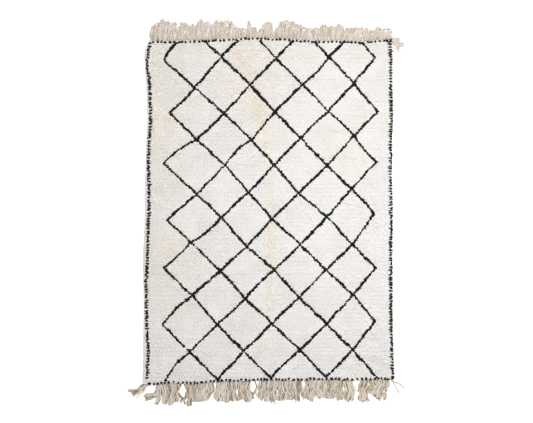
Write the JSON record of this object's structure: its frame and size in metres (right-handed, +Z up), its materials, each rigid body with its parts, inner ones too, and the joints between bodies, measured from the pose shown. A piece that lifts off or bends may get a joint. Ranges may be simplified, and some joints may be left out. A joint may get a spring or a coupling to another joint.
{
  "type": "beni ourain rug",
  "caption": "Flat hand-knotted wool rug with an ivory pile, a dark diamond lattice, a dashed dark border and a loose beige warp fringe at each end.",
  "frame": {"origin": "on the floor under the middle of the whole rug, fringes included", "axes": "+X across the rug, +Y along the warp towards the end that is uppermost in the picture, +Z up out of the pile"},
  "size_m": [1.7764, 2.5078, 0.02],
  "materials": {
    "ivory_pile_wool": "matt undyed ivory wool pile",
    "beige_warp_wool": "matt beige plied wool yarn",
    "dark_pile_wool": "matt near-black wool pile"
  },
  "bodies": {
    "root": {"pile_field": "ivory_pile_wool", "fringe_upper": "beige_warp_wool", "fringe_lower": "beige_warp_wool"}
  },
  "joints": []
}
